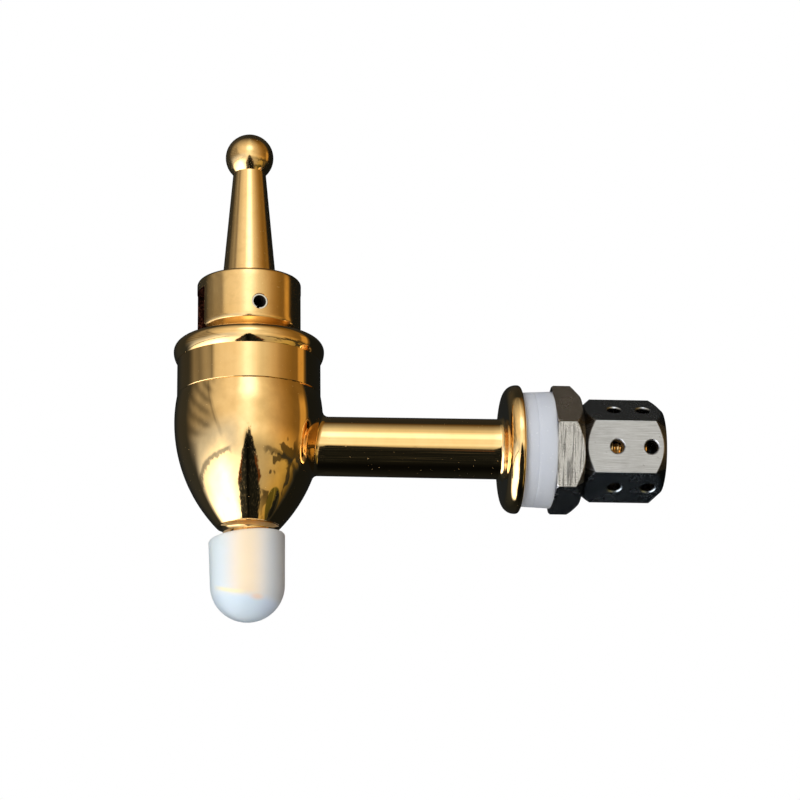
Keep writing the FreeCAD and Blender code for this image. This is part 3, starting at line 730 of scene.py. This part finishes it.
pin_skin = slit_tube(pin_radius, pin_wall, pin_slit, pin_half, pin_level)
pin_caps = [np.stack([pin_skin[[0, 1, 2], i], pin_skin[[5, 4, 3], i]]) for i in (0, -1)]
pin = built("spring_pin", [pin_skin] + pin_caps)
stand_at_valve(pin, handle_turn)
pin.data.materials.append(rolled_steel())
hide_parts("roll_pin")
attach(pin, "handle")


# The wall gasket: milky silicone, moulded in two halves of a mould whose faint line runs round it,
# and a little larger at the nut.

gasket_thickness, gasket_front, gasket_back, gasket_round = 6.7, 12.05, 12.35, 0.25
thread_bore = shank_radius + 0.06
line_share, line_half, line_depth = 0.43, 0.12, 0.05
mould_line = gasket_thickness * line_share
line_radius = gasket_front + (gasket_back - gasket_front) * line_share
gasket_profile = traced(
    (thread_bore, 0.0), (gasket_front - gasket_round, 0.0),
    ((gasket_front, gasket_round), -gasket_round, 6),
    ((line_radius, mould_line - line_half), 6),
    (line_radius - line_depth, mould_line), (line_radius, mould_line + line_half),
    ((gasket_back, gasket_thickness - gasket_round), 6),
    ((gasket_back - gasket_round, gasket_thickness), -gasket_round, 6),
    (thread_bore, gasket_thickness), (thread_bore, 0.0))
gasket = built("wall_gasket", [turned(gasket_profile, 192, "X")])
gasket.data.materials.append(silicone("gasket_silicone", (0.53, 0.555, 0.61), 0.0, 0.42).owner)
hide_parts("flange_gasket")
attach(gasket, "root")


# The lock nut: stainless hexagon bar, parted off, bored and bevelled by 45 degrees on the strainer's
# side. One flat still has the coarse marks of the mill.

nut_width, nut_length, nut_turn = 23.65, 5.8, math.radians(20.0)


def hexagon_bar(width, rows, turn, per_flat=24):
    """A hexagon bar along X with turned ends. Each row is (x, cone radius): the bar's radius there is
    the smaller of the cone's and the hexagon's, which is half the width over the cosine of the angle
    from the middle of the flat. A row's x may be a function of the hexagon's radius."""
    step = np.pi / 3
    angle = np.concatenate([np.linspace(k * step, (k + 1) * step, per_flat, endpoint=False)
                            for k in range(6)] + [[2 * np.pi]]) - step / 2
    off_middle = (angle + step / 2) % step - step / 2
    hexagon = width / 2 / np.cos(off_middle)
    skin = []
    for along, cone in rows:
        radius = np.minimum(hexagon, cone) if cone is not None else hexagon
        x = along(hexagon) if callable(along) else np.full_like(angle, along)
        skin.append(np.stack([x, -radius * np.cos(angle + turn), -radius * np.sin(angle + turn)],
                             axis=-1))
    return np.stack(skin)


def shoulder(face, face_radius, slope):
    """Where a cone from a face's edge meets the hexagon: x as a function of the hexagon's radius."""
    return lambda hexagon: face + slope * np.clip(hexagon - face_radius, 0.0, None)


nut_corner = nut_width / math.sqrt(3)
nut_back_radius, nut_front_radius = nut_corner - 0.35, nut_corner - 1.9
nut_rows = [(0.0, thread_bore), (0.0, nut_back_radius), (shoulder(0.0, nut_back_radius, 1.0), None),
            (shoulder(nut_length, nut_front_radius, -1.0), None),
            (nut_length, nut_front_radius), (nut_length, thread_bore), (0.0, thread_bore)]
nut = built("lock_nut_hexagon", [hexagon_bar(nut_width, nut_rows, nut_turn)
                                 + [gasket_thickness, 0, 0]], crease=15.0)
# Painted light and shade: the flat near the front painted bright, the flat above it a little darker, the
# rest darker still.
nut_painted_flat_tones = ((1.0, 1.0, 1.0), (0.92, 0.85, 0.80), (0.42, 0.43, 0.45))
nut.data.materials.append(
    hexagon_steel("milled_steel", nut_width, nut_turn, nut_painted_flat_tones, mid_rough=0.52, coarse=1.0, brushed=0.25))
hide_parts("lock_nut")
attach(nut, "root")


# The strainer: a hexagon stainless cap screwed over the shank's end, with two holes in each flat.
# Its end is turned to a wide bevel, and its flats are brushed along the bar.

strainer_width, strainer_turn = 19.0, math.radians(10.0)
strainer_floor, strainer_length = 15.85, 17.75
strainer_face = gasket_thickness + nut_length
hole_radius, hole_rim = 1.45, 0.25
first_row = 7.15
last_rows = (14.35, 14.3, 13.31)
hole_overlap = 1
strainer_corner = strainer_width / math.sqrt(3)
end_slope = 1.0 / math.tan(math.radians(42.0))
start_radius, end_radius = strainer_corner - 2.35, strainer_corner - 2.25
strainer_rows = [(0.0, thread_bore), (0.0, start_radius),
                 (shoulder(0.0, start_radius, end_slope), None),
                 (shoulder(strainer_length, end_radius, -end_slope), None),
                 (strainer_length, end_radius), (strainer_length, 0.0)]
strainer_bar = hexagon_bar(strainer_width, strainer_rows, 0.0)
inside_rows = [(0.0, thread_bore), (strainer_floor, thread_bore), (strainer_floor, 0.0)]
strainer_hollow = hexagon_bar(strainer_width, inside_rows, 0.0)
strainer = built("strainer_hexagon", [strainer_bar, strainer_hollow], crease=15.0)
flat_level = strainer_width / 2
tool_end, tool_flare = flat_level + hole_overlap, hole_radius + hole_rim + hole_overlap
hole_profile = [(0.0, -tool_end), (tool_flare, -tool_end), (hole_radius, -flat_level + hole_rim),
                (hole_radius, flat_level - hole_rim), (tool_flare, tool_end), (0.0, tool_end)]
hole_tools = []
for flats, last_row in enumerate(last_rows):
    for row in (first_row, last_row):
        tool = built("hole_tool", [turned(hole_profile, 48)])
        upright_to_flat = Matrix.Rotation(math.radians(90 + 60 * flats), 4, "X")
        tool.data.transform(Matrix.Translation((row * MM, 0, 0)) @ upright_to_flat)
        hole_tools.append(tool)
cut(strainer, *hole_tools)
smooth(strainer.data, 15.0)
strainer.data.transform(Matrix.Translation((strainer_face * MM, 0, 0))
                        @ Matrix.Rotation(strainer_turn, 4, "X"))
# Painted light and shade: the flat near the front painted lighter than the others.
strainer_painted_flat_tones = ((0.70, 0.72, 0.77), (0.50, 0.52, 0.56), (0.46, 0.52, 0.58))
strainer.data.materials.append(
    hexagon_steel("brushed_steel", strainer_width, strainer_turn, strainer_painted_flat_tones,
                  mid_rough=0.42, coarse=0.0, brushed=1.0))
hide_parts("strainer_cap")
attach(strainer, "root")


# The spout cap: thick clear silicone, domed and a little askew, with a slanting rounded rim.
# It is pushed up over the spout to keep it clean and pulled off by hand.

cap_radius, cap_end_radius = 8.0, 7.75
cap_rim_level, cap_dome_level = -19.9, -30.1
cap_lean, rim_slant = math.radians(1.0), math.radians(6.0)
rim_round, cap_bore, cap_bore_end = 0.6, spout_radius + 0.05, -32.8
cap_shift = 0.35


def leaning_cap(columns=192):
    """A thimble about an axis that leans in the XZ plane. Its side tapers from the rim to the dome,
    the rim is a slanting plane with a rounded edge, and the bore is upright. In each column the edge
    is an arc tangent to the side's line and to the rim's line."""
    angle = np.linspace(0.0, 2 * np.pi, columns + 1)
    dome = cap_dome_level - cap_rim_level
    side_top = 2 * cap_radius * math.tan(rim_slant)
    taper = (cap_radius - cap_end_radius) / (side_top - dome)
    rise = math.tan(rim_slant - cap_lean) * np.cos(angle)
    side = np.array([math.sin(math.atan(taper)), math.cos(math.atan(taper))])
    rim = np.stack([np.cos(np.arctan(rise)), np.sin(np.arctan(rise))], axis=-1)
    rim_drop = cap_shift * math.tan(rim_slant)
    corner_across = (cap_end_radius - taper * (dome + rim_drop)) / (1 - taper * rise)
    corner = np.stack([corner_across, rise * corner_across - rim_drop], axis=-1)
    opening = np.arccos(np.clip((rim * side).sum(-1), -1, 1))
    back = rim_round / np.tan(opening / 2)
    bisector = -(rim + side)
    bisector /= np.linalg.norm(bisector, axis=-1, keepdims=True)
    middle = corner + bisector * (rim_round / np.sin(opening / 2))[:, None]
    tangent = corner - side * back[:, None]
    from_side = tangent - middle
    from_rim = corner - rim * back[:, None] - middle
    bend = np.linspace(0.0, math.pi / 2, 29)[:-1, None] * np.ones_like(angle)
    dome_part = np.stack([np.sin(bend), -np.cos(bend)], axis=-1) * cap_end_radius + [0.0, dome]
    dome_edge = np.array([cap_end_radius, dome])
    side_part = dome_edge + (tangent - dome_edge) * np.linspace(0.0, 1.0, 13)[:-1, None, None]
    turn = np.linspace(0.0, math.pi / 2, 11)[:, None, None]
    edge_part = from_side * np.cos(turn) + from_rim * np.sin(turn)
    edge_part *= rim_round / np.linalg.norm(edge_part, axis=-1, keepdims=True)
    across, up = np.moveaxis(np.concatenate([dome_part, side_part, middle + edge_part]), -1, 0)
    u, y = across * np.cos(angle), across * np.sin(angle)
    outside = np.stack([u * math.cos(cap_lean) - up * math.sin(cap_lean) - cap_shift, y,
                        u * math.sin(cap_lean) + up * math.cos(cap_lean)], axis=-1)
    mouth = at_angle(cap_bore, angle, cap_bore * np.cos(angle) * math.tan(rim_slant))
    bore_floor = cap_bore_end - cap_rim_level
    bottom, centre = at_angle(cap_bore, angle, bore_floor), at_angle(0.0, angle, bore_floor)
    lip = outside[-1] + (mouth - outside[-1]) * np.linspace(0, 1, 5)[:, None, None]
    return [outside, lip, np.stack([mouth, bottom, centre])]


def cap_silicone():
    """The cap's milky skin. Painted warm light on its wall stands for the plated spout inside it, its
    dome is cooler, painted shade dims one side, and a thin crescent and a small spark are painted
    highlights."""
    milk = silicone("cap_silicone", (0.79, 0.90, 1.0), 0.22, 0.34)
    x, y, z = milk.place().parts()
    off_axis = (x + reach * MM) * (1 / MM)
    level = z * (1 / MM)
    wall_share = (level + off_axis * 0.10).ease(-34.6, -32.6)
    # Painted highlight: a thin crescent of light low on the wall.
    painted_crescent_level = (off_axis + 1.5) ** 2.0 * 0.05 - 33.0
    painted_crescent = (level.near(painted_crescent_level, 0.05, 0.65)
                * off_axis.ease(-7.4, -5.4) * off_axis.fade(-3.2, 0.2))
    # Painted highlight: a small spark of light.
    painted_spark_off = ((level + 34.0) ** 2.0 * 2.5 + (off_axis - 1.5) ** 2.0 * 0.5) ** 0.5
    # Colours of painted light and shade: a shaded side, warm light from the spout inside, and two
    # highlights.
    cool, cap_painted_shade, painted_spout_glow = (0.66, 0.785, 1.0), (0.43, 0.36, 0.29), (1.0, 0.76, 0.50)
    painted_crescent_light, painted_spark_glint = (1.0, 0.90, 0.54), (0.98, 0.62, 0.36)
    look = milk.blend((1.0 - wall_share) * 0.6, milk.so_far("Base Color"), cool)
    # Painted shade darkens the side towards the arm.
    look = milk.blend(off_axis.ease(0.0, 9.0) * (wall_share * 0.35 + 0.45), look, cap_painted_shade)
    # Painted warm light where the plated spout shows through the wall.
    look = milk.blend(off_axis.near(-0.7, 0.3, 6.2) * wall_share * 0.85, look, painted_spout_glow)
    # Painted crescent highlight.
    look = milk.blend(painted_crescent * 0.8, look, painted_crescent_light)
    # Painted spark of light.
    milk.set(Base_Color=milk.blend(painted_spark_off.fade(0.2, 1.4) * 0.55, look, painted_spark_glint))
    return milk.owner


cap_patches = [patch + [-reach, 0.0, cap_rim_level] for patch in leaning_cap()]
cap = built("spout_cap_dome", cap_patches, crease=40.0)
cap.data.materials.append(cap_silicone())
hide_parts("spout_cap")
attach(cap, "cap")


# The studio: a plain pale floor under the tap, a white surround, and soft light from in front.
# The metal also sees a large tent, bright in front and above and dim behind and below.

floor_level, floor_half, floor_glow = -0.27, 9.0e3, 0.27
floor_side = np.array([-floor_half, floor_half])
floor_grid = np.stack([*np.meshgrid(floor_side, floor_side), np.zeros((2, 2))], axis=-1)
floor = built("studio_floor", [floor_grid])
floor.data.transform(Matrix.Translation((0, 0, floor_level)))
paper = Finish("pale_paper")
paper_grain = paper.place().noise(30.0, 3.0)
paper.set(Base_Color=paper.blend(paper_grain, (0.80, 0.80, 0.79), (0.84, 0.84, 0.83)),
          Roughness=paper_grain * 0.1 + 0.8,
          Emission_Strength=paper.node("LightPath", output="Is Camera Ray") * floor_glow)
paper.set(Emission_Color=(1.0, 1.0, 1.0))
floor.data.materials.append(paper.owner)
floor.visible_glossy = False

view_turn, view_rise, view_roll = math.radians(5.9), math.radians(17.0), math.radians(-0.70)

tent_radius = 6.0e3
tent_rows = [(tent_radius * math.sin(a), -tent_radius * math.cos(a))
             for a in np.linspace(0.0, math.pi, 33)]
tent = built("studio_tent", [turned(tent_rows, 64)])
for ray in ("camera", "diffuse", "transmission", "volume_scatter", "shadow"):
    setattr(tent, "visible_" + ray, False)


# In the tent's functions a place on the cloth is its bearing and rise in degrees: bearing 0 lies towards
# the camera and grows to the picture's right, and rise 0 is level. Each pair of numbers says where a
# change starts and ends.


def upper_cloth(cloth, bearing, rise, ragged):
    """The bright upper cloth: brightest straight ahead, weaker to both sides and overhead, with a bright
    band ahead, a strip at the far right, a fold to the left, and waves in the curtain beyond it."""
    leftward = bearing * -1.0
    left_fall = leftward.fade(20.0, 76.0) * 0.45 + 0.55
    right_fall = bearing.fade(0.0, 84.0) * 0.80 + 0.20
    fall = left_fall + (right_fall - left_fall) * bearing.ease(-3.0, 3.0)
    ahead = bearing.near(0.0, 0.0, 22.0) * 0.40
    lit_band = rise.near(32.0, 4.0, 16.0) * bearing.near(3.0, 0.0, 24.0) * 1.15
    fold_off = bearing + rise * 0.75 + 44.0
    fold = (fold_off.near(0.0, 1.0, 5.0) * leftward.ease(36.0, 44.0) * 0.26
            + fold_off.fade(-1.0, 0.5) * rise.ease(0.0, 8.0) * 0.30)
    waves = cloth.maths("SINE", rise * 0.80 + bearing * 0.24 + ragged * 2.2) * 0.5 + 0.5
    curtain = (leftward.ease(52.0, 66.0) * rise.ease(-4.0, 4.0)
               * rise.fade(30.0, 44.0) * (waves * 0.44 + 0.04))
    strip = bearing.near(95.0, 4.0, 9.0) * rise.fade(19.0, 27.0) * 0.42
    ends = leftward.fade(80.0, 112.0) * bearing.fade(100.0, 110.0)
    height = rise.ease(-16.0, 2.0) * (1.0 - rise.ease(30.0, 96.0) * 0.9)
    return ((fall + ahead + lit_band) * (1.0 - fold) * (1.0 - curtain) + strip) * ends * height


def lower_cloth(bearing, rise):
    """The lower cloth: a sheet on the left that grows very bright downwards, a dimmer one on the right."""
    leftward, below = bearing * -1.0, rise * -1.0
    left_sheet = ((leftward + rise).fade(74.0, 98.0) * leftward.ease(0.0, 8.0)
                  * (leftward.ease(20.0, 50.0) * 0.5 + 0.5)
                  * (below.ease(-4.0, 14.0) * 0.9
                     + (below - leftward * 0.16).ease(-6.0, 30.0) * 2.7)
                  * below.fade(58.0, 80.0))
    right_sheet = (bearing.ease(0.0, 8.0) * bearing.fade(68.0, 108.0)
                   * below.ease(-6.0, 12.0) * below.fade(62.0, 88.0) * 0.52)
    return left_sheet + right_sheet


def tent_cloth():
    """Cloth that glows towards the tap. The light of the upper and lower cloth is cut by a dark ragged
    gap below, broader downwards, with warm edges, and dimmed by a seam, spots and a green patch."""
    cloth = Finish("tent_cloth")
    x, y, z = cloth.place().parts()
    span = tent_radius * MM
    to_front = x * -math.sin(view_turn) + y * -math.cos(view_turn)
    to_right = x * math.cos(view_turn) + y * -math.sin(view_turn)
    bearing = cloth.maths("ARCTAN2", to_right, to_front) * (180 / math.pi)
    rise = cloth.maths("ARCSINE", (z / span).clamp(-1.0, 1.0)) * (180 / math.pi)
    leftward, below = bearing * -1.0, rise * -1.0
    fine = cloth.vector(bearing, rise, 0.0).noise(0.32, 3.0, 0.6)
    ragged = cloth.vector(bearing, rise, 0.0).noise(0.09, 4.0, 0.6)
    mottle = cloth.vector(bearing, rise * 2.0, 0.0).noise(0.05, 4.0) * 0.5 + 0.75

    gap_half = below.ease(0.0, 40.0) * 0.27 + 0.045
    gap_off = (cloth.maths("ABSOLUTE", to_right * (1.0 / span) - 0.05) - gap_half
               + (ragged - 0.5) * 0.26 + (fine - 0.5) * 0.10)
    gap = gap_off.fade(-0.02, 0.035) * (rise + (fine - 0.5) * 14.0).fade(-6.0, 1.0)
    gap_dark = gap * (0.985 - fine.ease(0.50, 0.80) * 0.16)
    warm_edge = (gap_off.near(-0.03, 0.01, 0.045) * below.ease(18.0, 25.0)
                 * below.fade(38.0, 45.0) * bearing.near(0.0, 60.0, 80.0))
    seam_off = (cloth.maths("ABSOLUTE", rise + 16.0 + (ragged - 0.5) * 9.0)
                - ragged.ease(0.3, 0.7) * 1.8)
    seam = seam_off.fade(0.0, 1.8) * (1.0 - bearing.near(0.0, 24.0, 34.0))
    blots = cloth.vector(bearing * 0.5, rise, 40.0).noise(0.085, 2.0, 0.5)
    spots = (blots.ease(0.54, 0.57) * bearing.ease(30.0, 46.0)
             * rise.fade(-8.0, 2.0) * below.fade(44.0, 70.0))
    patch_off = ((bearing - 80.0) / 22.0) ** 2.0 + ((rise + 45.0) / 11.0) ** 2.0
    crease = (bearing - 80.0 + (rise + 45.0) * 1.4).near(0.0, 0.5, 2.0)
    green_patch = patch_off.fade(0.8, 1.0) * (1.0 - crease * 0.35)

    cloth_light = upper_cloth(cloth, bearing, rise, ragged) + lower_cloth(bearing, rise)
    side_light = ((leftward.ease(84.0, 108.0) * 0.0405 + bearing.ease(92.0, 112.0) * 0.009)
                  * rise.near(0.0, 38.0, 80.0) * (1.0 - leftward.ease(128.0, 160.0) * 0.6))
    level = (cloth_light * mottle * (1.0 - gap_dark) * (1.0 - seam * 0.6) * (1.0 - spots * 0.8)
             * (1.0 - green_patch * 0.8) * (1.0 - warm_edge * 0.7)
             + warm_edge * 0.11 + rise.ease(20.0, 60.0) * 0.03 + side_light + 0.004)

    low_amber, amber, straw = (1.0, 0.75, 0.24), (1.0, 0.60, 0.16), (1.0, 0.97, 0.80)
    blue, cream = (0.80, 0.87, 1.0), (1.0, 0.92, 0.75)
    green, orange, slate = (1.0, 0.95, 0.22), (1.0, 0.36, 0.09), (0.74, 0.90, 1.0)
    right_tint = cloth.blend(bearing.ease(10.0, 76.0), straw,
                             cloth.blend(below.ease(0.0, 18.0), amber, low_amber))
    left_tint = cloth.blend(rise.ease(-4.0, 12.0), blue, cream)
    tint = cloth.blend(bearing.ease(-30.0, 12.0), left_tint, right_tint)
    tint = cloth.blend(green_patch, tint, green)
    tint = cloth.blend(warm_edge, tint, orange)
    tint = cloth.blend(level.ease(0.01, 0.09), slate, tint)
    tint = cloth.blend(level.ease(0.8, 1.6), tint, (1.0, 1.0, 1.0))
    cloth.tree.nodes.remove(cloth.shader)
    glow = cloth.node("Emission", {"Color": tint, "Strength": level})
    cloth.fill(cloth.tree.nodes["Material Output"].inputs["Surface"], glow)
    cloth.owner.cycles.emission_sampling = "NONE"
    return cloth.owner


tent.data.materials.append(tent_cloth())


lamp_aim = Vector((-0.03, 0.0, 0.0))


def lamp(name, place, size, power, colour=(1.0, 1.0, 1.0)):
    """A square soft box that faces the tap."""
    light = bpy.data.lights.new(name, "AREA")
    light.shape = "SQUARE"
    light.size = size
    light.energy = power
    light.color = colour
    box = bpy.data.objects.new(name, light)
    bpy.context.collection.objects.link(box)
    box.location = Vector(place)
    box.rotation_mode = "QUATERNION"
    box.rotation_quaternion = (box.location - lamp_aim).to_track_quat("Z", "Y")
    box.visible_glossy = False


lamp("soft_box_front", (-0.8, -1.4, 0.10), 0.7, 20.0)
lamp("soft_box_right", (1.2, -0.5, 0.7), 0.9, 3.0, (1.0, 0.95, 0.88))
lamp("soft_box_back", (0.2, 1.3, 0.8), 1.2, 10.0)

# The world is white to the camera, to polished metal and through clear silicone, and weaker as light
world_light = 0.40
surround = Finish("white_surround", bpy.data.worlds, "Background")
bpy.context.scene.world = surround.owner
seen = surround.node("LightPath", output="Is Camera Ray")
for ray in ("Is Glossy Ray", "Is Transmission Ray"):
    seen = surround.maths("MAXIMUM", seen, surround.node("LightPath", output=ray))
surround.set(Color=(1.0, 1.0, 1.0), Strength=seen * (1.0 - world_light) + world_light)


# The camera: below the tap and a little to its left, far off through a long lens, as in the photo.
# It is placed so that the valve's axis, level with the arm, falls on valve_spot in the picture.

picture, focal, valve_spot = 800.0, 3000.0, (248.7, 445.2)
distance = 0.6285
sensor = 36.0
beside = (valve_spot[0] - picture / 2) / focal * distance
above = -(valve_spot[1] - picture / 2) / focal * distance
placing = Matrix.Translation((-reach * MM, 0.0, 0.0))
for turn, axis in ((-view_turn, "Z"), (math.pi / 2 + view_rise, "X"), (view_roll, "Z")):
    placing = placing @ Matrix.Rotation(turn, 4, axis)
lens = bpy.data.cameras.new("camera")
lens.sensor_width = sensor
lens.lens = sensor * focal / picture
lens.clip_start, lens.clip_end = 0.01, 50.0
camera = bpy.data.objects.new("camera", lens)
bpy.context.collection.objects.link(camera)
camera.matrix_world = placing @ Matrix.Translation((-beside, -above, distance))
bpy.context.scene.camera = camera
bpy.context.scene.view_settings.view_transform = "Standard"
